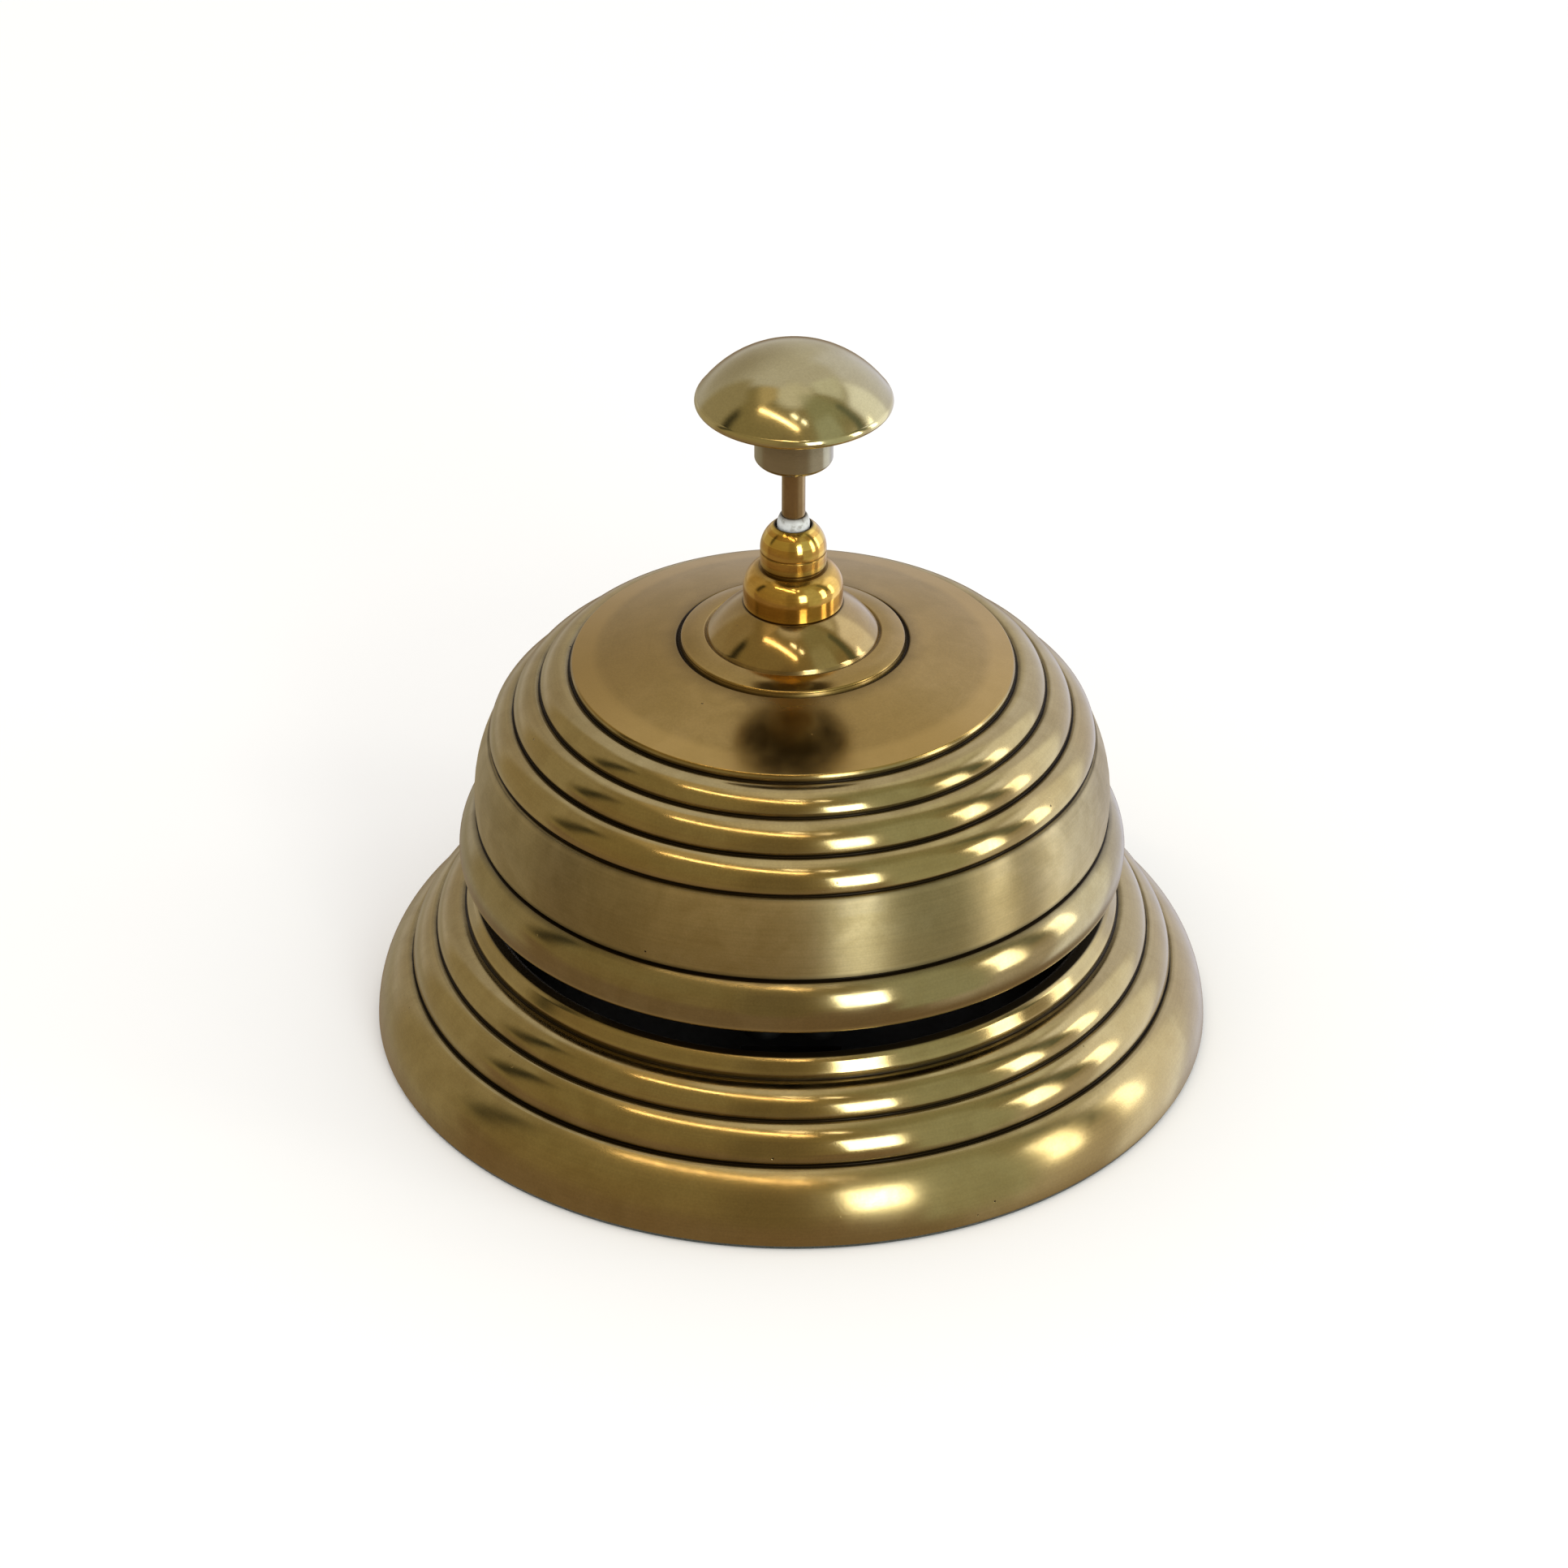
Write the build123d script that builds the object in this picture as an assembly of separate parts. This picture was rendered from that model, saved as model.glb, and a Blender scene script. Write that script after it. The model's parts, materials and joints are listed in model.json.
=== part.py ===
from build123d import *

import math
import os

# Reception counter bell, in millimetres.
# Origin: centre of the felt's underside, on the desk. +Z runs up the stem, +X points to the striker's side.
# An outline is a list of (radius, height) points, traced clockwise; a third value bows the stretch that
# ends at that point, outwards when positive.

# --- driving dimensions -------------------------------------------------------------------------------
BASE_R = 75.0  # widest radius of the base
FELT_T = 0.8
FELT_R = BASE_R - 0.4
PLATE_T = 2.0
PLATE_R = 70.8
PLATE_TOP = FELT_T + PLATE_T
FIT_GAP = 0.03  # radial gap between a screw or pin and the part that holds it
RUN_GAP = 0.05  # radial gap of a running or sliding fit

# Stepped base: heights and radii of the turned steps, from the top rim down
RIM_R = 57.4
RIM_Z = 27.6
RIM_INNER_R = 54.4
BASE_GROOVES = [(59.0, 24.6), (64.3, 19.6), (68.7, 13.2)]
BASE_GROOVE_HALVES = [0.75, 0.6, 0.5]  # half the width of each groove
BASE_BEAD_BULGE = 0.9
OUTER_BEAD_RADIAL = 8.4
OUTER_BEAD_RISE = 12.6

# Bell: turned grooves from the flat crown down to the lip
CROWN_EDGE = (38.8, 73.5)
BELL_GROOVES = [(39.6, 72.6), (44.9, 68.8), (49.6, 63.9), (53.8, 58.4), (56.4, 43.0)]
BELL_BEAD_BULGE = 0.8
BELL_BAND_BULGE = 1.1
LIP_R = 59.3
LIP_Z = 34.7
LIP_BULGE = 1.2
BELL_GROOVE_HALVES = [0.6, 0.6, 0.55, 0.6, 0.4]
GROOVE_DEPTH = 0.8

# Stack on the axis
SEAT_Z = 85.3  # finial's seat on the rosette
SEAT_R = 8.8
DOME_WALL = 2.2
WASHER_T = 1.1
POST_R = 4.5
POST_TOP = 98.5
POST_FLOOR = 76.0
POST_CAVITY_R = 3.5
POST_STUB = 6.0  # thread below the frame's top plate
SHOULDER_R = 7.0
NUT_R = 7.4
NUT_T = 4.0
POST_WASHER_T = 1.0
FRAME_TOP = 74.0
SHEET = 2.5  # frame's sheet thickness
FINIAL_R = 8.75
FINIAL_TIP_R = 5.8  # upper step
FINIAL_NECK_R = 5.35  # undercut between the steps
FINIAL_TOP = 100.7
FINIAL_HOLE_R = 3.15
FINIAL_LINE_Z = 95.75  # fine turned line round the upper step
BUSH_TOP = 102.6
BUSH_NECK_R = 2.85
BUSH_TAPER_H = 1.4  # cone at the top of the neck

# Plunger
ROD_R = 2.05
ROD_TIP = 58.2
COLLAR_TOP = 93.5
COLLAR_T = 2.0
KNOB_R = 17.1
KNOB_RIM_Z = 124.9
KNOB_TOP = 134.6
KNOB_UNDER_Z = 125.4
KNOB_COLLAR_R = 6.8
KNOB_COLLAR_Z = 113.1
KNOB_COLLAR_CHAMFER = 0.9
SPIGOT_R = 4.0
SPIGOT_H = 4.5

# Return spring
WIRE_R = 0.3
SPRING_R = 2.75
SPRING_TURNS = 8

# Striker
PIVOT = (14.0, 55.9)  # X, Z of the lever's pin
HAMMER = (43.5, 38.0)
HAMMER_R = 4.6
RIVET_R = 0.78
LEVER_W = 4.0
LEVER_T = 3.0
PIN_R = 2.0
BUSH_OUT_R = 3.5
STOP_ALONG = 11.0  # distance along the lever from the pin to the rest stop
STOP_SLEEVE_R = 2.5
STOP_PIN_R = 1.5
STOP_GAP = 0.25

# Frame
LEG_IN = 8.0  # inner face of each leg, in Y
LEG_OUT = LEG_IN + SHEET
FRAME_HALF = 9.0  # half width of the strip, in X
FOOT_END = 21.0

# Screws
SCREW_R = 2.0
SCREW_HEAD_R = 3.6
FRAME_SCREW_X = 5.0
FRAME_SCREW_Y = 15.5
BASE_SCREW_R = 61.0
BASE_SCREW_ANGLES = [90, 210, 330]
LUG_R = 5.0
LUG_TOP = 14.0


# --- helpers ------------------------------------------------------------------------------------------
def chain(points):
    """Edges through the points; a third value bows the stretch that ends there."""
    edges = []
    for start, end in zip(points, points[1:]):
        a = Vector(start[0], start[1])
        b = Vector(end[0], end[1])
        if len(end) > 2:
            side = (b - a).normalized().rotate(Axis.Z, 90)
            edges.append(ThreePointArc(a, (a + b) / 2 + side * end[2], b))
        else:
            edges.append(Line(a, b))
    return edges


def turned(points):
    """Solid turned about Z from a closed outline of (radius, height) points."""
    return revolved(chain(points + points[:1]))


def revolved(edges):
    """Solid turned about Z from the edges of a closed outline."""
    return revolve(Plane.XZ * Face(Wire(edges)), Axis.Z)


def ring(inner, outer, low, high):
    """Plain tube about Z; an inner radius of 0 makes a disc."""
    solid = Pos(0, 0, low) * extrude(Circle(outer), high - low)
    if inner:
        solid -= Pos(0, 0, low) * extrude(Circle(inner), high - low)
    return solid


def rod_y(x, z, radius, low, high):
    """Round bar along Y, between two Y values."""
    return Pos(x, high, z) * Rot(90, 0, 0) * extrude(Circle(radius), high - low)


def groove(before, at, after, half):
    """Three points of a V groove at a point of an outline, square to the line past it."""
    along = (Vector(*after[:2]) - Vector(*before[:2])).normalized()
    out = along.rotate(Axis.Z, 90)
    centre = Vector(*at)
    corners = [centre - along * half, centre - out * GROOVE_DEPTH, centre + along * half]
    return [(p.X, p.Y) for p in corners]


def beaded(start, grooves, end, halves, bulges):
    """Outline from start to end with a V groove at each point and a bowed bead before each one."""
    stops = [start] + grooves + [end]
    points = []
    for before, at, after, half, bulge in zip(stops, grooves, stops[2:], halves, bulges):
        corners = groove(before, at, after, half)
        corners[0] = (*corners[0], bulge) if bulge else corners[0]
        points += corners
    return points


def bar_xz(a, b, width, thick):
    """Flat bar with round ends between two (X, Z) points, centred on Y = 0."""
    length = math.dist(a, b)
    angle = math.degrees(math.atan2(b[1] - a[1], b[0] - a[0]))
    slot = SlotCenterToCenter(length, width)
    middle = Pos((a[0] + b[0]) / 2, 0, (a[1] + b[1]) / 2)
    return middle * Rot(0, -angle, 0) * Rot(90, 0, 0) * extrude(slot, thick / 2, both=True)


# --- shell of the object ------------------------------------------------------------------------------
def bell_dome():
    """Turned brass bell: seat, rosette, flat crown, three beads, a plain band and the lip."""
    crown = [
        (SEAT_R, SEAT_Z),
        (14.85, 79.75, 0.4),
        (15.2, 79.0),
        (15.6, 79.3),
        (19.3, 78.5, 0.15),
        (19.7, 78.0, 0.12),
        (20.0, 77.2),
        (20.6, 77.75),
        (*CROWN_EDGE, 0.3),
    ]
    flank = beaded(
        CROWN_EDGE,
        BELL_GROOVES,
        (LIP_R, LIP_Z),
        BELL_GROOVE_HALVES,
        [0, BELL_BEAD_BULGE, BELL_BEAD_BULGE, BELL_BEAD_BULGE, BELL_BAND_BULGE],
    )
    lip = [(LIP_R, LIP_Z, LIP_BULGE), (LIP_R - 0.6, LIP_Z - 0.5, 0.15), (56.8, LIP_Z - 0.4)]
    inside = [
        (56.0, 39.0),
        (53.9, 43.5),
        (53.4, 52.0, -0.2),
        (51.4, 57.2, -0.3),
        (47.2, 62.2),
        (42.6, 66.6),
        (38.0, 70.6, -0.3),
        (20.0, 75.0),
        (13.6, 77.0),
        (10.5, 81.5, -0.4),
        (9.2, SEAT_Z - DOME_WALL),
        (POST_R + 0.1, SEAT_Z - DOME_WALL),
        (POST_R + 0.1, SEAT_Z),
    ]
    return turned(crown + flank + lip + inside)


def base_skirt():
    """Hollow stepped base with three screw lugs inside."""
    rim = [(RIM_INNER_R, RIM_Z - 0.6), (RIM_INNER_R + 0.7, RIM_Z), (RIM_R - 0.6, RIM_Z), (RIM_R, RIM_Z - 0.6)]
    outer = EllipticalCenterArc(
        (BASE_R - OUTER_BEAD_RADIAL, FELT_T),
        OUTER_BEAD_RADIAL,
        OUTER_BEAD_RISE,
        start_angle=0,
        arc_size=70,
    )
    shoulder = outer @ 1
    steps = beaded(
        (RIM_R, RIM_Z - 0.6),
        BASE_GROOVES,
        (shoulder.X, shoulder.Y),
        BASE_GROOVE_HALVES,
        [0, BASE_BEAD_BULGE, BASE_BEAD_BULGE],
    )
    inside = [
        (BASE_R, FELT_T),
        (PLATE_R + 0.2, FELT_T),
        (PLATE_R + 0.2, PLATE_TOP),
        (69.0, PLATE_TOP),
        (68.6, 7.0),
        (65.2, 12.4),
        (60.4, 18.4),
        (56.0, 23.0),
        (RIM_INNER_R, RIM_Z - 0.6),
    ]
    edges = chain(rim + steps + [(shoulder.X, shoulder.Y)]) + [outer] + chain(inside)
    skirt = revolved(edges)
    lug = ring(0, LUG_R, PLATE_TOP, LUG_TOP)
    hole = ring(0, SCREW_R + FIT_GAP, PLATE_TOP, LUG_TOP - 2)
    for angle in BASE_SCREW_ANGLES:
        place = Rot(0, 0, angle) * Pos(BASE_SCREW_R, 0, 0)
        skirt += place * lug
        skirt -= place * hole
    return skirt


def felt_pad():
    """Felt disc glued under the base."""
    return ring(0, FELT_R, 0, FELT_T)


def base_plate():
    """Steel disc that closes the base, drilled for the base and frame screws."""
    plate = ring(0, PLATE_R, FELT_T, PLATE_TOP)
    for angle in BASE_SCREW_ANGLES:
        plate -= Rot(0, 0, angle) * Pos(BASE_SCREW_R, 0, 0) * countersunk(FIT_GAP)
    for x, y in frame_screw_places():
        plate -= Pos(x, y, 0) * ring(0, SCREW_R + FIT_GAP, FELT_T, PLATE_TOP)
    return plate


def countersunk(gap):
    """Countersunk screw, head down and flush with the plate's underside, grown by a gap."""
    return turned([
        (0, FELT_T),
        (0, LUG_TOP - 2.5 + gap),
        (SCREW_R + gap, LUG_TOP - 2.5 + gap),
        (SCREW_R + gap, FELT_T + 1.6),
        (SCREW_HEAD_R + gap, FELT_T),
    ])


def base_screws():
    """Countersunk screws from the plate up into the base's lugs."""
    slot = Pos(0, 0, FELT_T) * Box(2 * SCREW_HEAD_R + 1, 0.9, 1.4)
    screw = countersunk(0) - slot
    return [Rot(0, 0, angle) * Pos(BASE_SCREW_R, 0, 0) * screw for angle in BASE_SCREW_ANGLES]


# --- frame and post -----------------------------------------------------------------------------------
def frame_screw_places():
    """X, Y of each screw in the frame's feet."""
    return [(x, y) for x in (-FRAME_SCREW_X, FRAME_SCREW_X) for y in (-FRAME_SCREW_Y, FRAME_SCREW_Y)]


def mechanism_frame():
    """Bent strip: two feet, two legs with ears for the striker, and a top plate for the post."""
    bend = 2.0
    bow = bend * (1 - math.sqrt(0.5))  # how far a quarter round stands off its chord
    outer = [(-LEG_OUT, PLATE_TOP + SHEET), (-LEG_OUT, FRAME_TOP - bend), (-LEG_OUT + bend, FRAME_TOP, bow),
             (LEG_OUT - bend, FRAME_TOP), (LEG_OUT, FRAME_TOP - bend, bow), (LEG_OUT, PLATE_TOP + SHEET)]
    right_foot = [(FOOT_END, PLATE_TOP + SHEET), (FOOT_END, PLATE_TOP), (LEG_IN, PLATE_TOP)]
    inner = [(LEG_IN, FRAME_TOP - SHEET), (-LEG_IN, FRAME_TOP - SHEET), (-LEG_IN, PLATE_TOP)]
    left_foot = [(-FOOT_END, PLATE_TOP), (-FOOT_END, PLATE_TOP + SHEET), (-LEG_OUT, PLATE_TOP + SHEET)]
    section = Face(Wire(chain(outer + right_foot + inner + left_foot)))
    frame = extrude(Plane.YZ * section, FRAME_HALF, both=True)
    stop = stop_place()
    ear_outline = Polyline(
        (FRAME_HALF - 1, 40.0), (stop[0] + 1, stop[1] - 4.5), (stop[0] + 4.5, stop[1] - 1),
        (stop[0] + 4.0, stop[1] + 4), (PIVOT[0] + 6, PIVOT[1] + 3), (PIVOT[0] + 1, PIVOT[1] + 7.5),
        (FRAME_HALF - 1, PIVOT[1] + 9), close=True,
    )
    ear = extrude(Plane.XZ * make_face(ear_outline), SHEET)
    frame += [Pos(0, -LEG_IN, 0) * ear, Pos(0, LEG_OUT, 0) * ear]
    frame -= rod_y(*PIVOT, PIN_R + FIT_GAP, -LEG_OUT - 1, LEG_OUT + 1)
    frame -= rod_y(*stop, STOP_PIN_R + FIT_GAP, -LEG_OUT - 1, LEG_OUT + 1)
    frame -= ring(0, POST_R + FIT_GAP, FRAME_TOP - SHEET, FRAME_TOP)
    for x, y in frame_screw_places():
        frame -= Pos(x, y, 0) * ring(0, SCREW_R + FIT_GAP, PLATE_TOP, PLATE_TOP + SHEET)
    return frame


def frame_screws():
    """Pan-head screws through the frame's feet into the plate."""
    foot_top = PLATE_TOP + SHEET
    screw = turned([
        (0, FELT_T + 0.1),
        (0, foot_top + 2.2),
        (SCREW_HEAD_R, foot_top, 0.9),
        (SCREW_R, foot_top),
        (SCREW_R, FELT_T + 0.1),
    ])
    screw -= Pos(0, 0, foot_top + 2.2) * Box(2 * SCREW_HEAD_R + 1, 0.9, 1.8)
    return [Pos(x, y, 0) * screw for x, y in frame_screw_places()]


def post_sleeve():
    """Hollow post: threaded ends, hexagonal shoulder, spring cavity on top and guide bore below."""
    low = FRAME_TOP - SHEET - POST_STUB
    post = ring(0, POST_R, low, POST_TOP)
    shoulder_t = SEAT_Z - DOME_WALL - WASHER_T - FRAME_TOP
    post += Pos(0, 0, FRAME_TOP) * extrude(RegularPolygon(SHOULDER_R, 6), shoulder_t)
    post -= ring(0, POST_CAVITY_R, POST_FLOOR, POST_TOP)
    post -= ring(0, ROD_R + RUN_GAP, low, POST_FLOOR)
    return post


def post_nut():
    """Hexagonal nut on the post, under the frame's top plate."""
    low = FRAME_TOP - SHEET - POST_WASHER_T - NUT_T
    nut = Pos(0, 0, low) * extrude(RegularPolygon(NUT_R, 6), NUT_T)
    return nut - ring(0, POST_R + FIT_GAP, low, low + NUT_T)


def post_washer():
    """Steel washer between the nut and the frame."""
    return ring(POST_R + FIT_GAP, NUT_R - 0.2, FRAME_TOP - SHEET - POST_WASHER_T, FRAME_TOP - SHEET)


def dome_washer():
    """Fibre washer that the bell hangs on."""
    return ring(POST_R + FIT_GAP, 8.2, SEAT_Z - DOME_WALL - WASHER_T, SEAT_Z - DOME_WALL)


def finial_nut():
    """Polished two-step nut that clamps the bell and holds the guide bush down."""
    line = 0.2
    return turned([
        (FINIAL_R - 0.15, SEAT_Z),
        (POST_R + FIT_GAP, SEAT_Z),
        (POST_R + FIT_GAP, POST_TOP + 0.1),
        (FINIAL_HOLE_R, POST_TOP + 0.1),
        (FINIAL_HOLE_R, FINIAL_TOP - 0.2),
        (FINIAL_HOLE_R + 0.15, FINIAL_TOP),
        (FINIAL_TIP_R, FINIAL_LINE_Z + line, 0.68),
        (FINIAL_TIP_R - line, FINIAL_LINE_Z),
        (FINIAL_TIP_R, FINIAL_LINE_Z - line),
        (FINIAL_TIP_R, 93.2),
        (FINIAL_NECK_R, 92.8),
        (FINIAL_NECK_R, 92.45),
        (FINIAL_TIP_R + 0.25, 92.4),
        (FINIAL_R, 88.3, 0.77),
        (FINIAL_R, SEAT_Z + 0.3),
    ])


def guide_bush():
    """White nylon bush: a body inside the post and a neck that stands out of the finial."""
    return turned([
        (ROD_R + RUN_GAP, COLLAR_TOP + 0.05),
        (ROD_R + RUN_GAP, BUSH_TOP),
        (ROD_R + 0.3, BUSH_TOP),
        (BUSH_NECK_R, BUSH_TOP - BUSH_TAPER_H, 0.05),
        (BUSH_NECK_R, POST_TOP),
        (POST_CAVITY_R - FIT_GAP, POST_TOP),
        (POST_CAVITY_R - FIT_GAP, COLLAR_TOP + 0.05),
    ])


# --- plunger ------------------------------------------------------------------------------------------
def plunger_rod():
    """Stem with a half-round nose at the bottom."""
    top = KNOB_UNDER_Z + SPIGOT_H - 2
    return ring(0, ROD_R, ROD_TIP + ROD_R, top) + Pos(0, 0, ROD_TIP + ROD_R) * Sphere(ROD_R)


def plunger_collar():
    """Ring fixed on the stem: seat of the spring and upper stop of the plunger."""
    return ring(ROD_R, POST_CAVITY_R - 0.2, COLLAR_TOP - COLLAR_T, COLLAR_TOP)


def return_spring():
    """Compression spring between the post's floor and the collar, with closed round wire."""
    low = POST_FLOOR + WIRE_R + 0.02
    high = COLLAR_TOP - COLLAR_T - WIRE_R - 0.02
    path = Helix((high - low) / SPRING_TURNS, high - low, SPRING_R)
    wire = Plane(origin=path @ 0, z_dir=path % 0) * Circle(WIRE_R)
    return Pos(0, 0, low) * sweep(wire, path=path)


def knob_cap():
    """Mushroom cap, a sphere's crown with a rounded rim, and a socket for the collar's spigot."""
    crown_r = KNOB_R - 0.5
    crown_z = KNOB_RIM_Z + 1.1
    chord = math.hypot(crown_r, KNOB_TOP - crown_z)
    sphere_r = chord**2 / (2 * (KNOB_TOP - crown_z))
    bulge = sphere_r - math.sqrt(sphere_r**2 - chord**2 / 4)
    return turned([
        (0, KNOB_TOP),
        (crown_r, crown_z, bulge),
        (KNOB_R, KNOB_RIM_Z, 0.12),
        (KNOB_R - 0.8, KNOB_RIM_Z - 0.6, 0.2),
        (KNOB_COLLAR_R + 0.6, KNOB_UNDER_Z, -0.3),
        (SPIGOT_R + FIT_GAP, KNOB_UNDER_Z),
        (SPIGOT_R + FIT_GAP, KNOB_UNDER_Z + SPIGOT_H + 0.1),
        (0, KNOB_UNDER_Z + SPIGOT_H + 0.1),
    ])


def knob_collar():
    """Collar under the cap, screwed on the stem, with a spigot up into the cap."""
    bore = ROD_R + 0.02
    return turned([
        (bore, KNOB_COLLAR_Z),
        (bore, KNOB_UNDER_Z + SPIGOT_H - 1.9),
        (0, KNOB_UNDER_Z + SPIGOT_H - 1.9),
        (0, KNOB_UNDER_Z + SPIGOT_H),
        (SPIGOT_R, KNOB_UNDER_Z + SPIGOT_H),
        (SPIGOT_R, KNOB_UNDER_Z),
        (KNOB_COLLAR_R, KNOB_UNDER_Z),
        (KNOB_COLLAR_R, KNOB_COLLAR_Z + KNOB_COLLAR_CHAMFER),
        (KNOB_COLLAR_R - KNOB_COLLAR_CHAMFER, KNOB_COLLAR_Z, 0.12),
    ])


# --- striker ------------------------------------------------------------------------------------------
def stop_place():
    """X, Z of the rest stop, just under the lever's long arm."""
    length = math.dist(PIVOT, HAMMER)
    along = ((HAMMER[0] - PIVOT[0]) / length, (HAMMER[1] - PIVOT[1]) / length)
    drop = LEVER_W / 2 + STOP_SLEEVE_R + STOP_GAP
    return (
        PIVOT[0] + along[0] * STOP_ALONG + along[1] * drop,
        PIVOT[1] + along[1] * STOP_ALONG - along[0] * drop,
    )


def striker_lever():
    """Flat rocking lever: a short arm under the stem and a long arm to the hammer."""
    lever = bar_xz((-0.5, PIVOT[1]), PIVOT, LEVER_W, LEVER_T)
    lever += bar_xz(PIVOT, HAMMER, LEVER_W, LEVER_T)
    lever += rod_y(*PIVOT, BUSH_OUT_R + 2, -LEVER_T / 2, LEVER_T / 2)
    lever -= rod_y(*PIVOT, BUSH_OUT_R + 0.02, -LEVER_T, LEVER_T)
    return lever - rod_y(*HAMMER, RIVET_R + 0.02, -LEVER_T, LEVER_T)


def lever_bush():
    """Long bush pressed in the lever, which turns on the pivot pin."""
    half = LEG_IN - 0.4
    return rod_y(*PIVOT, BUSH_OUT_R, -half, half) - rod_y(*PIVOT, PIN_R + RUN_GAP, -half, half)


def striker_head():
    """Ball slotted for the lever's end."""
    slot = bar_xz(PIVOT, HAMMER, LEVER_W + 0.06, LEVER_T + 0.04)
    ball = Pos(HAMMER[0], 0, HAMMER[1]) * Sphere(HAMMER_R) - slot
    return ball - rod_y(*HAMMER, RIVET_R + 0.02, -HAMMER_R, HAMMER_R)


def striker_rivet():
    """Cross pin through the ball and the lever."""
    half = HAMMER_R - 0.3
    return rod_y(*HAMMER, RIVET_R, -half, half)


def pivot_pin():
    """Headed pin across the frame's ears, grooved for its clip."""
    head = 2.0
    clip = LEG_OUT + 0.3
    pin = rod_y(*PIVOT, PIN_R, -LEG_OUT, LEG_OUT + 2.2)
    pin += rod_y(*PIVOT, PIN_R + 1.4, -LEG_OUT - head, -LEG_OUT)
    return pin - (rod_y(*PIVOT, PIN_R + 1, clip, clip + 0.8) - rod_y(*PIVOT, PIN_R - 0.4, clip, clip + 0.8))


def pivot_clip():
    """Open retaining ring in the pin's groove."""
    low = LEG_OUT + 0.4
    clip = rod_y(*PIVOT, PIN_R + 1.6, low, low + 0.6) - rod_y(*PIVOT, PIN_R - 0.36, low, low + 0.6)
    gap = Pos(PIVOT[0], low + 0.3, PIVOT[1] - 3) * Box(1.6, 1, 6)
    return clip - gap


def stop_pin():
    """Riveted cross pin that carries the rest stop."""
    place = stop_place()
    pin = rod_y(*place, STOP_PIN_R, -LEG_OUT, LEG_OUT)
    for low in (-LEG_OUT - 0.9, LEG_OUT):
        pin += rod_y(*place, STOP_PIN_R + 0.9, low, low + 0.9)
    return pin


def stop_sleeve():
    """Rubber sleeve on the stop pin."""
    place = stop_place()
    return rod_y(*place, STOP_SLEEVE_R, -4, 4) - rod_y(*place, STOP_PIN_R + FIT_GAP, -4, 4)


NODES = {
    "bell_dome": bell_dome,
    "base_skirt": base_skirt,
    "felt_pad": felt_pad,
    "base_plate": base_plate,
    "base_screws": base_screws,
    "mechanism_frame": mechanism_frame,
    "frame_screws": frame_screws,
    "post_sleeve": post_sleeve,
    "post_nut": post_nut,
    "post_washer": post_washer,
    "dome_washer": dome_washer,
    "finial_nut": finial_nut,
    "guide_bush": guide_bush,
    "plunger_rod": plunger_rod,
    "plunger_collar": plunger_collar,
    "return_spring": return_spring,
    "knob_cap": knob_cap,
    "knob_collar": knob_collar,
    "striker_lever": striker_lever,
    "lever_bush": lever_bush,
    "striker_head": striker_head,
    "striker_rivet": striker_rivet,
    "pivot_pin": pivot_pin,
    "pivot_clip": pivot_clip,
    "stop_pin": stop_pin,
    "stop_sleeve": stop_sleeve,
}

os.makedirs("parts", exist_ok=True)
for name, make in NODES.items():
    made = make()
    solid = Compound(children=made) if isinstance(made, list) else made
    export_step(solid, f"parts/{name}.step")
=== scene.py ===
import bpy
import json
import math
from mathutils import Matrix, Vector

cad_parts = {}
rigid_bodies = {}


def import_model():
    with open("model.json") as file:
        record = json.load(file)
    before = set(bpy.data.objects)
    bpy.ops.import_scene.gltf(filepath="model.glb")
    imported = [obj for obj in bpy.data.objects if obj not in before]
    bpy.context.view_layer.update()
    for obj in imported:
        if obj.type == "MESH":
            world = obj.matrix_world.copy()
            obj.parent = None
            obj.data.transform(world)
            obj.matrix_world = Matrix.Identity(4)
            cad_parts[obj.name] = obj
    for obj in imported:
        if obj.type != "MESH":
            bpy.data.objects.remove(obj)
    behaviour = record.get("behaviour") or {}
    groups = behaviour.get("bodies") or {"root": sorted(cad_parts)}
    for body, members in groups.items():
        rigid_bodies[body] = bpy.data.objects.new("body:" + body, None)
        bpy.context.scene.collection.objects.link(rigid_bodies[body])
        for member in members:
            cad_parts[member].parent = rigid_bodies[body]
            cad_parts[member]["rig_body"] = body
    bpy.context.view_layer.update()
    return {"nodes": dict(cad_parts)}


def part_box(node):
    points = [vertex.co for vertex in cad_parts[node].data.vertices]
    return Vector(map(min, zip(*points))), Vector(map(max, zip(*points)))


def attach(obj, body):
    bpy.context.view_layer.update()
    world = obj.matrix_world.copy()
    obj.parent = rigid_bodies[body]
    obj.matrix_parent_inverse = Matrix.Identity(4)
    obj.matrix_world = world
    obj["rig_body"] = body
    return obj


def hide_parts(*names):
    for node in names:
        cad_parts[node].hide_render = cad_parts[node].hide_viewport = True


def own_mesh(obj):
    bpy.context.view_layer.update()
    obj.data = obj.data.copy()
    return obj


# Reception counter bell: turned brass shell, polished finial, nylon bush and push knob, built round the
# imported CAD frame. Outlines are (radius, height) in millimetres from the desk, traced clockwise. A third
# value bows the stretch that ends at that point, outward when positive. Zones are (low radius, high radius,
# low height, high height) in millimetres. Other lengths are in metres in the frame's own axes, where no
# comment says mm.

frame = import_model()
MM = 0.001
TURN_STEPS = 288  # facets round a turned piece

# Outlines
ARC_STEP = 3.5  # degrees of arc between points, or a little more
SHARP_TURN = math.radians(9)  # a corner that turns less stays as it is
CUT_SHARE = 0.45  # share of a stretch that rounding a corner may take, at most
GROOVE_DEPTH = 0.8  # mm

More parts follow.
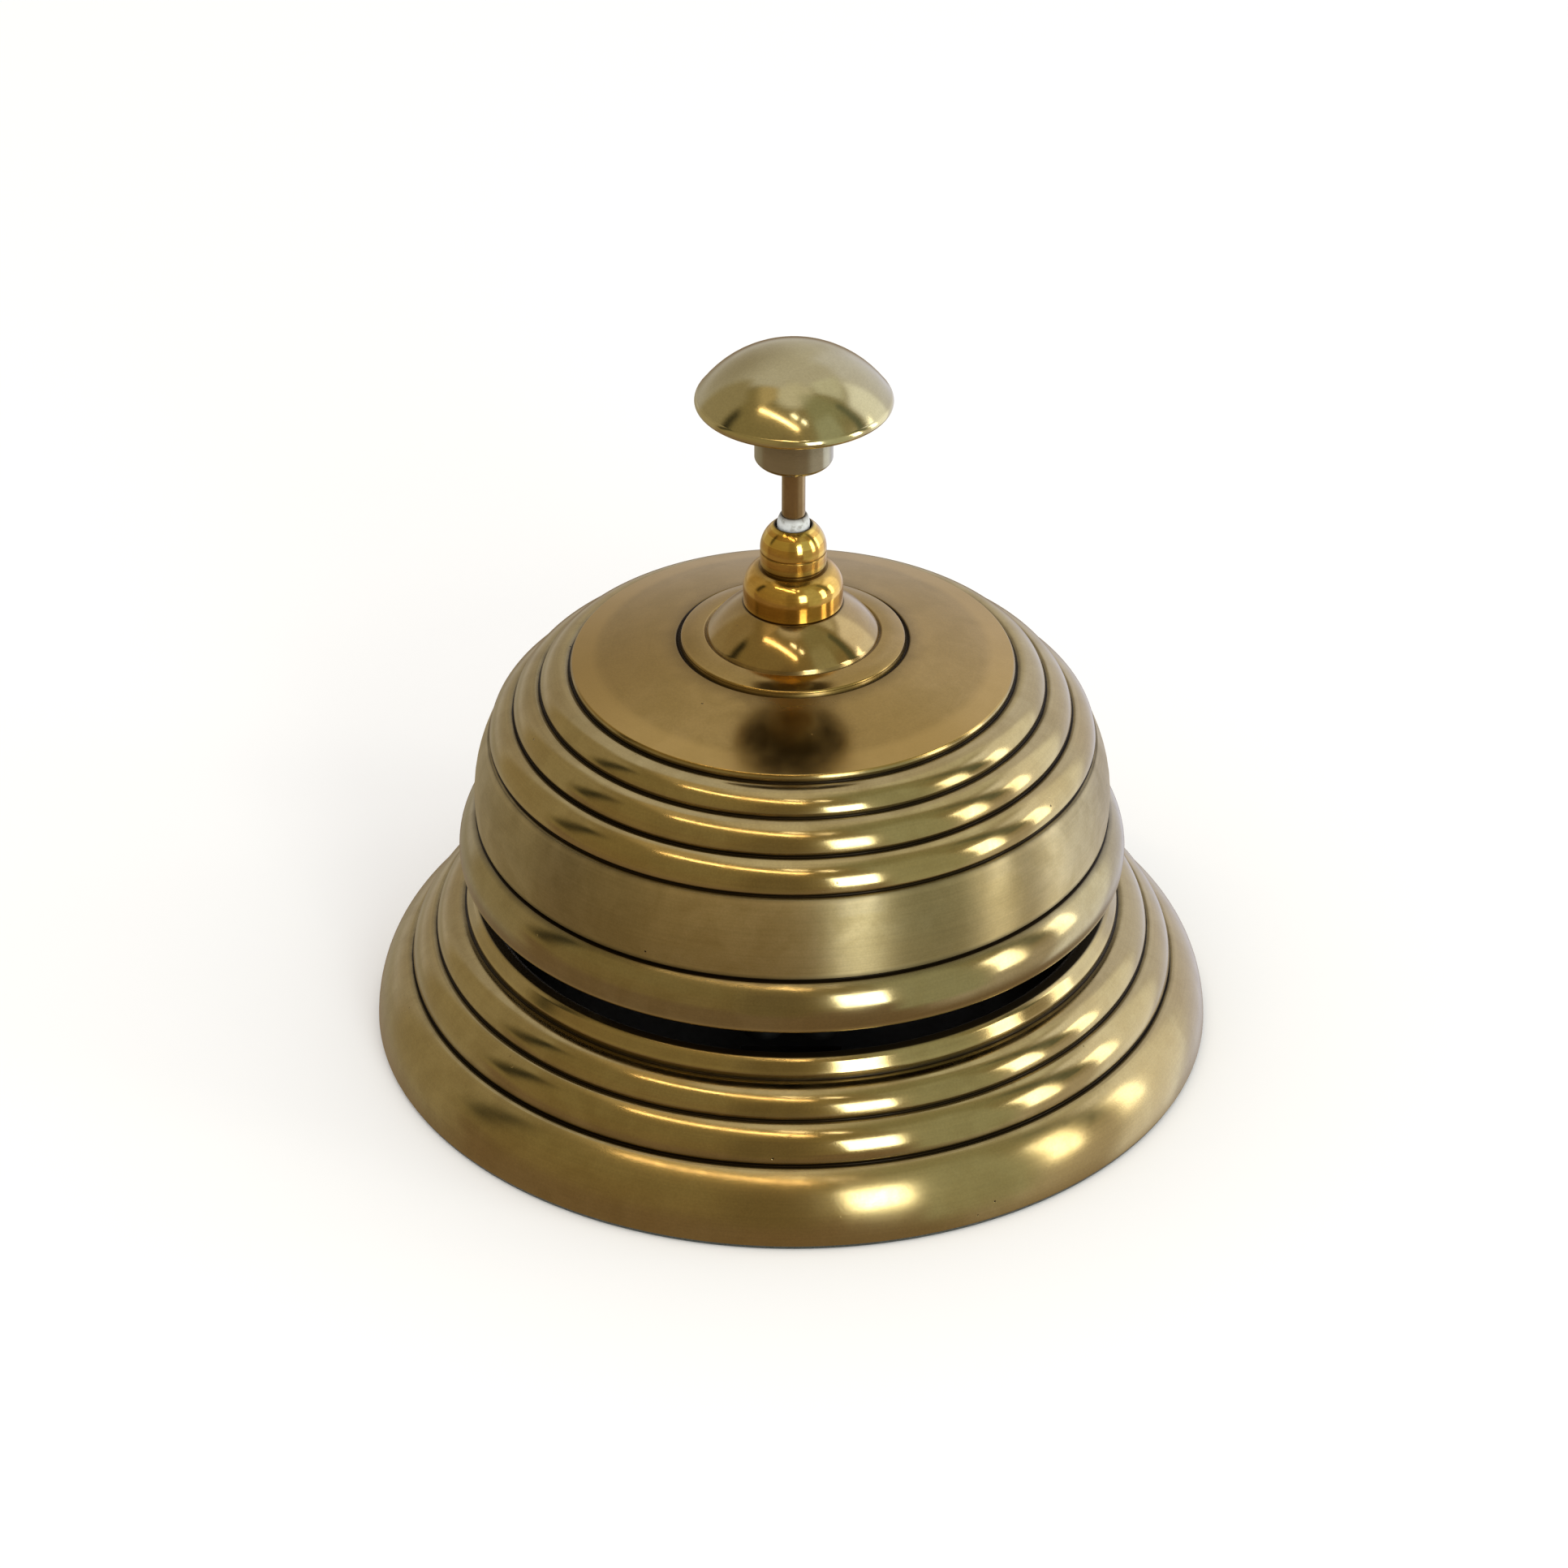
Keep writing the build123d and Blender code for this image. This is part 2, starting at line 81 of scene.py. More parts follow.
# Where dirt, oxide, painted shade and painted highlight lie
HOLLOW_WINDOW = 0.9  # mm round a point; a hollow is measured from the mean of the line within it
BOTTOM = 0.16  # mm of hollow from which a point counts as a groove's bottom
HALO_REACH = 1.8  # mm that painted shade and oxide spread from a groove's bottom
CLEANED = 0.45  # share of the hollow that counts in a cleaned part
SHADE_AND_DIRT_FADE = 0.3  # mm over which a zone of painted shade and dirt fades
ON_AXIS = 1e-4  # mm; a point closer to the axis is a single vertex


# --- outlines -----------------------------------------------------------------------------------------
def bowed(a, b, bulge):
    """Points after a, up to b, along a straight stretch or an arc that stands off its chord by bulge."""
    a, b = Vector(a), Vector(b)
    chord = (b - a).length
    side = Vector((-(b - a).y, (b - a).x)) / chord
    if abs(bulge) < 1e-6:
        return [a.lerp(b, t / 2) for t in (1, 2)]
    radius = (chord * chord / 4 + bulge * bulge) / (2 * bulge)
    centre = (a + b) / 2 + side * (bulge - radius)
    half = math.asin(min(1.0, chord / 2 / abs(radius)))
    steps = max(3, int(math.degrees(2 * half) / ARC_STEP))
    turn = -math.copysign(2 * half, bulge)
    arm = a - centre
    found = []
    for i in range(1, steps + 1):
        angle = turn * i / steps
        c, s = math.cos(angle), math.sin(angle)
        found.append(centre + Vector((arm.x * c - arm.y * s, arm.x * s + arm.y * c)))
    return found


def softened(stretches, soft):
    """Joins stretches of points, each corner between them cut back by soft and rounded."""
    joined = []
    for i, stretch in enumerate(stretches):
        points = list(stretch)
        if i < len(stretches) - 1:
            after = stretches[i + 1]
            lead, lag = points[-1] - points[-2], after[1] - after[0]
            if lead.angle(lag) > SHARP_TURN:
                cut = min(soft, lead.length * CUT_SHARE, lag.length * CUT_SHARE)
                corner = points.pop()
                start = corner - lead.normalized() * cut
                end = corner + lag.normalized() * cut
                for t in (0.0, 0.25, 0.5, 0.75, 1.0):
                    points.append(start.lerp(corner, t).lerp(corner.lerp(end, t), t))
                stretches[i + 1] = [end] + list(after[1:])
        repeated = joined and (points[0] - joined[-1]).length < 1e-6
        joined += points[1:] if repeated else points
    return joined


def outline(points, soft=0.12):
    """Dense (radius, height) line through the points, with arcs and small rounds at the corners."""
    stretches = []
    for start, end in zip(points, points[1:]):
        bulge = end[2] if len(end) > 2 else 0.0
        first = Vector(start[:2])
        stretches.append([first] + bowed(first, end[:2], bulge))
    return softened(stretches, soft)


def groove(before, at, after, half):
    """The three points of a V groove, square to the line past it."""
    along = (Vector(after[:2]) - Vector(before[:2])).normalized()
    out = Vector((-along.y, along.x))
    centre = Vector(at)
    corners = (centre - along * half, centre - out * GROOVE_DEPTH, centre + along * half)
    return [(p.x, p.y) for p in corners]


def beaded(start, grooves, end, halves, bulges):
    """Outline past a row of V grooves, bowed by that groove's bulge before each one."""
    stops = [start] + grooves + [end]
    points = []
    for before, at, after, half, bulge in zip(stops, grooves, stops[2:], halves, bulges):
        corners = groove(before, at, after, half)
        points += [(*corners[0], bulge)] + corners[1:]
    return points


# --- turned pieces ------------------------------------------------------------------------------------
def hollows(line):
    """How far each point lies under the run of the line near it, in mm: positive in a groove."""
    found = []
    for i, p in enumerate(line):
        near = [q for q in line if (q - p).length < HOLLOW_WINDOW]
        lead = line[min(i + 1, len(line) - 1)] - line[max(i - 1, 0)]
        out = Vector((-lead.y, lead.x)).normalized() if lead.length else Vector((0, 1))
        mean = sum(near, Vector((0, 0))) / len(near)
        found.append((mean - p).dot(out))
    return found


def turned(name, line, shade_and_dirt_zones=(), closed=True, clean_r=0.0):
    """Mesh turned about Z from a dense line, with 'hollow', 'near' a groove and, in listed zones, painted
    shade and dirt on each point.

    Grooves closer to the axis than clean_r count as partly cleaned. A line that isn't closed has to start
    and end on the axis.
    """
    turns = [2 * math.pi * k / TURN_STEPS for k in range(TURN_STEPS)]
    rings, verts, faces = [], [], []
    for p in line:
        if p.x < ON_AXIS:
            rings.append([len(verts)])
            verts.append((0, 0, p.y * MM))
            continue
        rings.append(list(range(len(verts), len(verts) + TURN_STEPS)))
        verts += [(p.x * MM * math.cos(a), p.x * MM * math.sin(a), p.y * MM) for a in turns]
    pairs = list(zip(rings, rings[1:])) + ([(rings[-1], rings[0])] if closed else [])
    for upper, lower in pairs:
        for k in range(TURN_STEPS):
            j = (k + 1) % TURN_STEPS
            if len(upper) == 1 and len(lower) == 1:
                break
            if len(upper) == 1:
                faces.append((upper[0], lower[k], lower[j]))
            elif len(lower) == 1:
                faces.append((upper[k], lower[0], upper[j]))
            else:
                faces.append((upper[k], lower[k], lower[j], upper[j]))
    mesh = bpy.data.meshes.new(name)
    mesh.from_pydata(verts, [], faces)
    mesh.validate()
    piece = bpy.data.objects.new(name, mesh)
    bpy.context.scene.collection.objects.link(piece)
    deep = [value * (CLEANED if p.x < clean_r else 1.0) for p, value in zip(line, hollows(line))]
    values = {"hollow": deep, "near": nearness(line, deep), "shade_and_dirt": [zone_shade_and_dirt(p, shade_and_dirt_zones) for p in line]}
    for key, by_ring in values.items():
        spread = [0.0] * len(verts)
        for ring, value in zip(rings, by_ring):
            for v in ring:
                spread[v] = value
        mesh.attributes.new(key, "FLOAT", "POINT").data.foreach_set("value", spread)
    normals = [None] * len(verts)
    for ring, n in zip(rings, ring_normals(line, closed)):
        if len(ring) == 1:
            normals[ring[0]] = (0, 0, math.copysign(1, n.y))
            continue
        for a, v in zip(turns, ring):
            normals[v] = (n.x * math.cos(a), n.x * math.sin(a), n.y)
    mesh.shade_smooth()
    mesh.normals_split_custom_set_from_vertices(normals)
    return piece


def ring_normals(line, closed):
    """Outward normal at each point of the line, led by the longer stretch beside it."""
    count = len(line)
    found = []
    for i in range(count):
        total = Vector((0, 0))
        for a, b in ((i - 1, i), (i, i + 1)):
            if closed or (a >= 0 and b < count):
                step = line[b % count] - line[a % count]
                total += Vector((-step.y, step.x))
        found.append(total.normalized() if total.length else Vector((0, 1)))
    return found


def nearness(line, deep):
    """1 in a groove's bottom, falling to 0 at the halo's reach from it."""
    bottoms = [p for p, value in zip(line, deep) if value > BOTTOM]
    return [max([0.0] + [1 - (p - q).length / HALO_REACH for q in bottoms]) for p in line]


def zone_shade_and_dirt(p, zones):
    """1 in a zone of painted shade and dirt and 0 outside, fading across the zone's ends."""
    best = 0.0
    for r_low, r_high, low, high in zones:
        inside = min(p.x - r_low, r_high - p.x, p.y - low, high - p.y)
        best = max(best, min(1.0, max(0.0, inside / SHADE_AND_DIRT_FADE + 0.5)))
    return best


def placed(piece, node, material, finishes=()):
    """The piece stands for its CAD node and rides on its body.

    finishes: (material, zone) pairs; the faces in a zone take its material.
    """
    body = frame["nodes"][node]["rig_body"]
    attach(piece, body)
    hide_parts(node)
    piece.data.materials.clear()
    for finish in [material] + [other for other, zone in finishes]:
        piece.data.materials.append(finish)
    for face in piece.data.polygons if finishes else ():
        at = face.center / MM
        radius = math.hypot(at.x, at.y)
        for i, (other, (r_low, r_high, low, high)) in enumerate(finishes):
            if r_low < radius < r_high and low < at.z < high:
                face.material_index = i + 1


# --- material helpers ---------------------------------------------------------------------------------
class Nodes:
    """A node tree under construction, with short names for what it needs."""

    def __init__(self, tree):
        self.tree = tree

    def add(self, kind, inputs=(), **settings):
        node = self.tree.nodes.new(kind)
        for key, value in settings.items():
            setattr(node, key, value)
        for key, value in dict(inputs).items():
            self.put(node.inputs[key], value)
        return node

    def put(self, socket, value):
        if isinstance(value, bpy.types.NodeSocket):
            self.tree.links.new(value, socket)
        else:
            socket.default_value = value

    def math(self, operation, a, b=0.0, clamp=False, c=0.0):
        node = self.add("ShaderNodeMath", {0: a, 1: b, 2: c}, operation=operation, use_clamp=clamp)
        return node.outputs[0]

    def plus(self, a, b):
        return self.math("ADD", a, b)

    def times(self, a, b):
        return self.math("MULTIPLY", a, b)

    def highest(self, a, b):
        return self.math("MAXIMUM", a, b)

    def coordinates(self, kind):
        """Object: where a point is in the frame. Generated: in the world, the way a ray leaves."""
        return self.add("ShaderNodeTexCoord").outputs[kind]

    def noise(self, vector, scale, detail, rough=0.5, distortion=0.0):
        inputs = {"Vector": vector, "Scale": scale, "Detail": detail, "Roughness": rough,
                  "Distortion": distortion}
        return self.add("ShaderNodeTexNoise", inputs).outputs[0]

    def remap(self, value, low, high, to_low=0.0, to_high=1.0):
        inputs = {0: value, 1: low, 2: high, 3: to_low, 4: to_high}
        return self.add("ShaderNodeMapRange", inputs, interpolation_type="SMOOTHSTEP").outputs[0]

    def mix(self, factor, a, b, blend="MIX"):
        node = self.add("ShaderNodeMix", data_type="RGBA", blend_type=blend)
        self.put(node.inputs[0], factor)
        for socket, value in ((node.inputs[6], a), (node.inputs[7], b)):
            self.put(socket, (*value, 1.0) if isinstance(value, tuple) else value)
        return node.outputs[2]

    def attribute(self, name):
        return self.add("ShaderNodeAttribute", attribute_name=name).outputs["Fac"]

    def round_z(self, about, across, along):
        """Coordinates that run slowly round Z and fast across it, for marks left by turning."""
        parts = self.add("ShaderNodeSeparateXYZ", {0: about}).outputs
        angle = self.math("ARCTAN2", parts[1], parts[0])
        square = self.plus(self.times(parts[0], parts[0]), self.times(parts[1], parts[1]))
        radius = self.math("SQRT", square)
        inputs = {0: self.times(radius, across), 1: self.times(parts[2], across),
                  2: self.times(angle, along)}
        return self.add("ShaderNodeCombineXYZ", inputs).outputs[0]

    def bump(self, height, distance, strength, under=None):
        inputs = {"Height": height, "Distance": distance, "Strength": strength}
        node = self.add("ShaderNodeBump", inputs)
        if under:
            self.put(node.inputs["Normal"], under)
        return node.outputs[0]


class Shader(Nodes):
    """A material under construction. Noise scales are per metre, bump distances in metres."""

    def __init__(self, name):
        self.material = bpy.data.materials.new(name)
        self.material.use_nodes = True
        super().__init__(self.material.node_tree)
        self.surface = self.tree.nodes["Principled BSDF"]

    def link(self, **inputs):
        """Leads a node's output to each of the surface's named inputs, underscores for spaces."""
        for key, value in inputs.items():
            self.put(self.surface.inputs[key.replace("_", " ")], value)

    def fix(self, **inputs):
        """Sets what is the same all over the surface on its own inputs."""
        for key, value in inputs.items():
            self.surface.inputs[key.replace("_", " ")].default_value = value


# Dark brown for oxide in grooves, pits, dirt and painted shade.
GRIME_AND_SHADE = (0.017, 0.010, 0.005)


def brass(name, light, dark, warm, rough, aniso, marks=0.5, patina_and_shade=1.0, speck=1.0, coat=0.2):
    """Aged turned brass: mottled tone, dark grooves, worn edges lightened also as painted highlight,
    painted shade in listed zones, pits and fine marks round the axis.

    light, dark and warm are the mottle's colours. marks, patina and speck scale the turning marks, the
    oxide and painted dark reflection in and round grooves, and the pits.
    """
    s = Shader(name)
    here = s.coordinates("Object")
    broad = s.noise(here, 45.0, 4.0, 0.55)
    cloud = s.noise(here, 160.0, 5.0, 0.6, 0.4)
    grain = s.noise(here, 2600.0, 3.0, 0.65)
    lines = s.noise(s.round_z(here, 2600.0, 2.2), 1.0, 2.0, 0.6)
    hollow, near, shade_and_dirt = s.attribute("hollow"), s.attribute("near"), s.attribute("shade_and_dirt")
    edge_wear_and_highlight = s.remap(hollow, -0.02, -0.12)

    tone = s.mix(s.remap(cloud, 0.35, 0.68), light, dark)
    tone = s.mix(s.times(s.remap(broad, 0.42, 0.66), 0.5), tone, warm)
    shade = s.remap(lines, 0.25, 0.75, 1.0 - 0.08 * marks, 1.0 + 0.05 * marks)
    shade = s.times(shade, s.remap(grain, 0.25, 0.75, 0.93, 1.05))
    grey = s.add("ShaderNodeCombineColor", {0: shade, 1: shade, 2: shade}).outputs[0]
    tone = s.mix(1.0, tone, grey, "MULTIPLY")
    # Rounded edges lightened for wear and as a painted highlight.
    worn_and_highlit = tuple(min(1.0, c * 1.4) for c in light)
    tone = s.mix(s.times(edge_wear_and_highlight, 0.5), tone, worn_and_highlit)

    pits = {"Vector": here, "Scale": 620.0, "Randomness": 1.0}
    cell = s.add("ShaderNodeTexVoronoi", pits).outputs["Distance"]
    spot = s.times(s.remap(cell, 0.16, 0.07), s.remap(s.noise(here, 95.0, 2.0), 0.66, 0.74))
    spot = s.times(spot, speck)
    uneven = s.times(s.math("SUBTRACT", cloud, 0.5), 0.25)
    # Oxide in the grooves, with a painted dark reflection spreading round them up to HALO_REACH.
    oxide_and_shade_halo = s.times(s.remap(s.plus(near, uneven), 0.2, 1.0), 0.62)
    deep = s.remap(s.plus(hollow, s.times(uneven, 0.4)), 0.03, 0.15)
    grime_and_shade = s.highest(s.highest(s.times(deep, 0.97), oxide_and_shade_halo), spot)
    # Listed zones of painted shade and dirt darken the tone here too.
    grime_and_shade = s.highest(s.times(grime_and_shade, patina_and_shade), s.times(shade_and_dirt, 0.93))
    tone = s.mix(grime_and_shade, tone, GRIME_AND_SHADE)

    gloss = s.plus(s.remap(cloud, 0.3, 0.7, rough - 0.025, rough + 0.035), s.times(lines, 0.04 * marks))
    gloss = s.math("ADD", gloss, s.times(grime_and_shade, 0.35), clamp=True)

    relief = s.bump(lines, 0.00002, 0.3 * marks)
    relief = s.bump(grain, 0.00001, 0.25, relief)
    relief = s.bump(s.math("SUBTRACT", 1.0, spot), 0.0001, 0.6, relief)

    s.link(Base_Color=tone, Roughness=gloss, Normal=relief)
    s.fix(Metallic=1.0, Anisotropic=aniso, Anisotropic_Rotation=0.25, Coat_Weight=coat, Coat_Roughness=0.12)
    s.link(Tangent=s.add("ShaderNodeTangent", direction_type="RADIAL", axis="Z").outputs[0])
    return s.material


def nylon(name):
    """Milky nylon, a little grubby, with painted shade at the bore's mouth and faint turning marks."""
    s = Shader(name)
    here = s.coordinates("Object")
    cloud = s.noise(here, 900.0, 4.0, 0.6)
    lines = s.noise(s.round_z(here, 3000.0, 1.5), 1.0, 2.0)
    tone = s.mix(s.remap(cloud, 0.4, 0.75), (0.60, 0.61, 0.59), (0.42, 0.42, 0.39))
    # Zones of dirt and painted shade darken the nylon, with random smudges besides.
    smudge = s.plus(s.times(s.attribute("shade_and_dirt"), 0.75), s.remap(cloud, 0.55, 0.7, 0.0, 0.35))
    tone = s.mix(smudge, tone, (0.16, 0.14, 0.11))
    s.link(Base_Color=tone, Roughness=s.remap(cloud, 0.3, 0.7, 0.38, 0.55),
           Normal=s.bump(lines, 0.00004, 0.4))
    s.fix(Subsurface_Weight=0.25, Subsurface_Radius=(MM, MM, MM))
    return s.material


def felt(name):
    """Short dense felt: fibres at two scales and a soft sheen."""
    s = Shader(name)
    here = s.coordinates("Object")
    fibres = s.noise(here, 2200.0, 6.0, 0.75, 1.2)
    cloud = s.noise(here, 120.0, 3.0)
    tone = s.mix(s.remap(fibres, 0.3, 0.7), (0.012, 0.016, 0.012), (0.050, 0.060, 0.046))
    tone = s.mix(s.times(s.remap(cloud, 0.4, 0.7), 0.4), tone, (0.030, 0.026, 0.018))
    s.link(Base_Color=tone, Normal=s.bump(fibres, 0.0003, 0.9))
    s.fix(Roughness=0.95, Sheen_Weight=0.3)
    return s.material


def plain(name, light, dark, rough, metallic=1.0, scale=300.0):
    """Cloudy colour and gloss with fine scratches, for steel, near-black parts painted for shade, fibre and
    rubber.
    """
    s = Shader(name)
    here = s.coordinates("Object")
    cloud = s.noise(here, scale, 5.0, 0.6)
    scratches = s.noise(here, scale * 8, 2.0, 0.5, 2.0)
    s.link(Base_Color=s.mix(s.remap(cloud, 0.35, 0.7), light, dark),
           Roughness=s.remap(cloud, 0.3, 0.7, rough, rough + 0.14), Normal=s.bump(scratches, 0.00003, 0.5))
    s.fix(Metallic=metallic)
    return s.material


# --- pieces -------------------------------------------------------------------------------------------
def bell_dome(material, dish, crown, band, lip_finish):
    """The bell: rosette, flat crown, three beads, a plain band and the lip."""
    seat, wall = 85.3, 2.2  # height of the top, thickness there
    crown_edge = (38.8, 73.5)
    lip = (59.3, 34.7)
    grooves = [(39.6, 72.6), (44.9, 68.8), (49.6, 63.9), (53.8, 58.4), (56.4, 43.0)]
    points = [(4.6, seat - wall), (4.6, seat), (8.8, seat), (14.85, 79.75, 0.4), (15.2, 79.0), (15.6, 79.3),
              (19.3, 78.5, 0.15), (19.7, 78.0, 0.12), (20.0, 77.2), (20.6, 77.75), (*crown_edge, 0.3)]
    points += beaded(crown_edge, grooves, lip, [0.6, 0.6, 0.55, 0.6, 0.4], [0.0, 0.8, 0.8, 0.8, 1.1])
    points += [(*lip, 1.2), (58.7, 34.2, 0.15), (56.8, 34.3), (56.0, 39.0), (53.9, 43.5),
               (53.4, 52.0, -0.2), (51.4, 57.2, -0.3), (47.2, 62.2), (42.6, 66.6), (38.0, 70.6, -0.3),
               (20.0, 75.0), (13.6, 77.0), (10.5, 81.5, -0.4), (9.2, seat - wall), (4.6, seat - wall)]
    # Darkened zones: painted shade round the finial's seat, inside the lip and along its lower edge.
    shade_and_dirt_zones = [(4.0, 8.9, 82.0, 86.0), (50.0, 56.2, 34.0, 43.2), (55.0, 58.5, 33.9, 34.6)]
    finishes = [(dish, (8.0, 15.2, 79.0, 86.0)), (crown, (15.2, 39.0, 72.8, 79.6)),
                (band, (53.0, 60.0, 43.4, 57.9)), (lip_finish, (56.0, 62.0, 34.0, 42.6))]
    piece = turned("bell", outline(points, 0.26), shade_and_dirt_zones, clean_r=21.0)
    placed(piece, "bell_dome", material, finishes)


def base_skirt(material, outer):
    """The stepped base, its outer bead part of an ellipse."""
    outer_r, foot, radial, rise = 75.0, 0.8, 8.4, 12.6  # its outermost radius, centre height and half axes
    top_angle, steps = 70, 24
    rim = [(54.4, 27.0), (55.1, 27.6), (56.8, 27.6), (57.4, 27.0)]
    ellipse = []
    for step in range(steps):
        a = math.radians(top_angle * (1 - step / (steps - 1)))
        ellipse.append((outer_r - radial + radial * math.cos(a), foot + rise * math.sin(a)))
    grooves = [(59.0, 24.6), (64.3, 19.6), (68.7, 13.2)]
    points = rim + beaded(rim[-1], grooves, ellipse[0], [0.75, 0.6, 0.5], [0.0, 0.9, 0.9])
    points += ellipse + [(71.0, foot), (71.0, 2.8), (69.0, 2.8), (68.6, 7.0), (65.2, 12.4), (60.4, 18.4),
                         (56.0, 23.0), (54.4, 27.0)]
    # Darkened zones: painted shade on the rim and inner walls in the gap under the bell's lip.
    shade_and_dirt_zones = [(54.0, 56.9, 22.0, 28.2), (55.0, 61.0, 17.5, 23.2)]
    piece = turned("base", outline(points, 0.26), shade_and_dirt_zones)
    placed(piece, "base_skirt", material, [(outer, (68.9, 76.0, 0.0, 13.3))])


def finial(material):
    """Polished nut in two rounded steps, with a fine line in the upper and a neck between them."""
    points = [(3.15, 98.6), (3.15, 100.5), (3.3, 100.7), (5.8, 95.95, 0.68), (5.6, 95.75), (5.8, 95.55),
              (5.8, 93.2), (5.35, 92.8), (5.35, 92.45), (6.05, 92.4), (8.75, 88.3, 0.77), (8.75, 85.6),
              (8.6, 85.3), (4.53, 85.3), (4.53, 98.6), (3.15, 98.6)]
    # Darkened zone: painted shade in the mouth of the finial's hole.
    shade_and_dirt_zones = [(3.0, 3.5, 99.0, 101.0)]
    placed(turned("finial", outline(points, 0.1), shade_and_dirt_zones), "finial_nut", material)


def bush(material):
    """Nylon bush: body in the post, neck out of the finial."""
    points = [(2.1, 93.55), (2.1, 102.6), (2.35, 102.6), (2.85, 101.2, 0.05), (2.85, 98.5),
              (3.47, 98.5), (3.47, 93.55), (2.1, 93.55)]
    # Darkened zone: dirt and painted shade at the mouth of the bush's bore.
    shade_and_dirt_zones = [(1.9, 2.5, 102.2, 102.8)]
    placed(turned("nylon_bush", outline(points, 0.1), shade_and_dirt_zones), "guide_bush", material)


def stem(material):
    """Plain drawn stem with a round nose."""
    points = [(0.0, 127.9), (2.05, 127.9), (2.05, 60.25), (0.0, 58.2, 0.6005)]
    placed(turned("stem", outline(points, 0.1), closed=False), "plunger_rod", material)


def knob(cap_material, collar_material):
    """Mushroom cap and the collar under it."""
    cap_r, rim_z, top = 17.1, 124.9, 134.6
    crown_r, crown_z = cap_r - 0.5, rim_z + 1.1  # where the spherical top ends
    chord = math.hypot(crown_r, top - crown_z)
    sphere = chord**2 / (2 * (top - crown_z))  # its radius
    bulge = sphere - math.sqrt(sphere**2 - chord**2 / 4)
    points = [(0.0, top), (crown_r, crown_z, bulge), (cap_r, rim_z, 0.12), (16.3, 124.3, 0.2),
              (7.4, 125.4, -0.3), (4.03, 125.4), (4.03, 130.0), (0.0, 130.0)]
    # Darkened zone: painted shade on the cap's underside.
    shade_and_dirt_zones = [(3.9, 16.0, 124.0, 126.0)]
    cap = turned("knob_top", outline(points), shade_and_dirt_zones, closed=False)
    placed(cap, "knob_cap", cap_material)
    points = [(2.07, 113.1), (2.07, 128.0), (0.0, 128.0), (0.0, 129.9), (4.0, 129.9), (4.0, 125.4),
              (6.8, 125.4), (6.8, 114.0), (5.9, 113.1, 0.12), (2.07, 113.1)]
    placed(turned("knob_ferrule", outline(points)), "knob_collar", collar_material)


def felt_disc(material):
    """Felt disc under the base, with a rounded edge."""
    points = [(0.0, 0.8), (74.35, 0.8), (74.6, 0.55, 0.05), (74.6, 0.2), (74.4, 0.0, 0.05), (0.0, 0.0)]
    placed(turned("felt_disc", outline(points, 0.08), closed=False), "felt_pad", material)


def spring(material):
    """Coil spring round the stem."""
    low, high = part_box("return_spring")
    wire, turns, steps, sides = 0.3 * MM, 8, 28, 10  # wire radius; facets per turn and round the wire
    radius = high.x - wire
    verts, faces = [], []
    count = turns * steps + 1
    for i in range(count):
        a = 2 * math.pi * i / steps
        out = Vector((math.cos(a), math.sin(a), 0))
        z = low.z + wire + (high.z - low.z - 2 * wire) * i / (count - 1)
        for k in range(sides):
            b = 2 * math.pi * k / sides
            verts.append(out * (radius + wire * math.cos(b)) + Vector((0, 0, z + wire * math.sin(b))))
    for i in range(count - 1):
        for k in range(sides):
            j = (k + 1) % sides
            faces.append((i * sides + k, i * sides + j, (i + 1) * sides + j, (i + 1) * sides + k))
    faces += [tuple(reversed(range(sides))), tuple(range((count - 1) * sides, count * sides))]
    mesh = bpy.data.meshes.new("coil")
    mesh.from_pydata(verts, [], faces)
    mesh.shade_smooth()
    piece = bpy.data.objects.new("coil_spring", mesh)
    bpy.context.scene.collection.objects.link(piece)
    placed(piece, "return_spring", material)
    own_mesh(piece)


# --- build --------------------------------------------------------------------------------------------
ANTIQUE = (0.50, 0.395, 0.185), (0.43, 0.33, 0.145), (0.47, 0.345, 0.145)  # light, dark and warm
BROWN = (0.43, 0.285, 0.09), (0.38, 0.25, 0.072), (0.40, 0.26, 0.075)
DISH = (0.49, 0.35, 0.145), (0.44, 0.30, 0.115), (0.46, 0.31, 0.115)
BAND = (0.57, 0.47, 0.26), (0.51, 0.41, 0.21), (0.53, 0.42, 0.205)
LIP = (0.46, 0.38, 0.20), (0.40, 0.32, 0.155), (0.43, 0.33, 0.15)
KNOB = (0.56, 0.49, 0.275), (0.51, 0.44, 0.235), (0.52, 0.45, 0.24)
GREY = (0.42, 0.39, 0.28), (0.34, 0.31, 0.20), (0.38, 0.33, 0.21)
YELLOW = (0.84, 0.54, 0.14), (0.68, 0.40, 0.085), (0.50, 0.25, 0.055)
DRAWN = (0.46, 0.34, 0.18), (0.36, 0.25, 0.12), (0.40, 0.27, 0.13)
antique = brass("antique_brass", *ANTIQUE, rough=0.13, aniso=0.65)
dish_brass = brass("dish_brass", *DISH, rough=0.10, aniso=0.2, marks=0.3)
crown_brass = brass("crown_brass", *BROWN, rough=0.17, aniso=0.2, marks=0.3)
outer_brass = brass("outer_brass", *ANTIQUE, rough=0.20, aniso=0.7)
band_brass = brass("band_brass", *BAND, rough=0.46, aniso=1.0, marks=0.7)
lip_brass = brass("lip_brass", *LIP, rough=0.14, aniso=0.65)
knob_brass = brass("knob_brass", *KNOB, rough=0.12, aniso=0.2, marks=0.3, patina_and_shade=0.6, speck=0.4)
grey_brass = brass("grey_brass", *GREY, rough=0.17, aniso=0.5, marks=0.9, patina_and_shade=0.6, speck=0.3)
polished = brass("polished_brass", *YELLOW, rough=0.11, aniso=0.6, marks=0.9, patina_and_shade=0.7, speck=0.4,
                 coat=0.1)
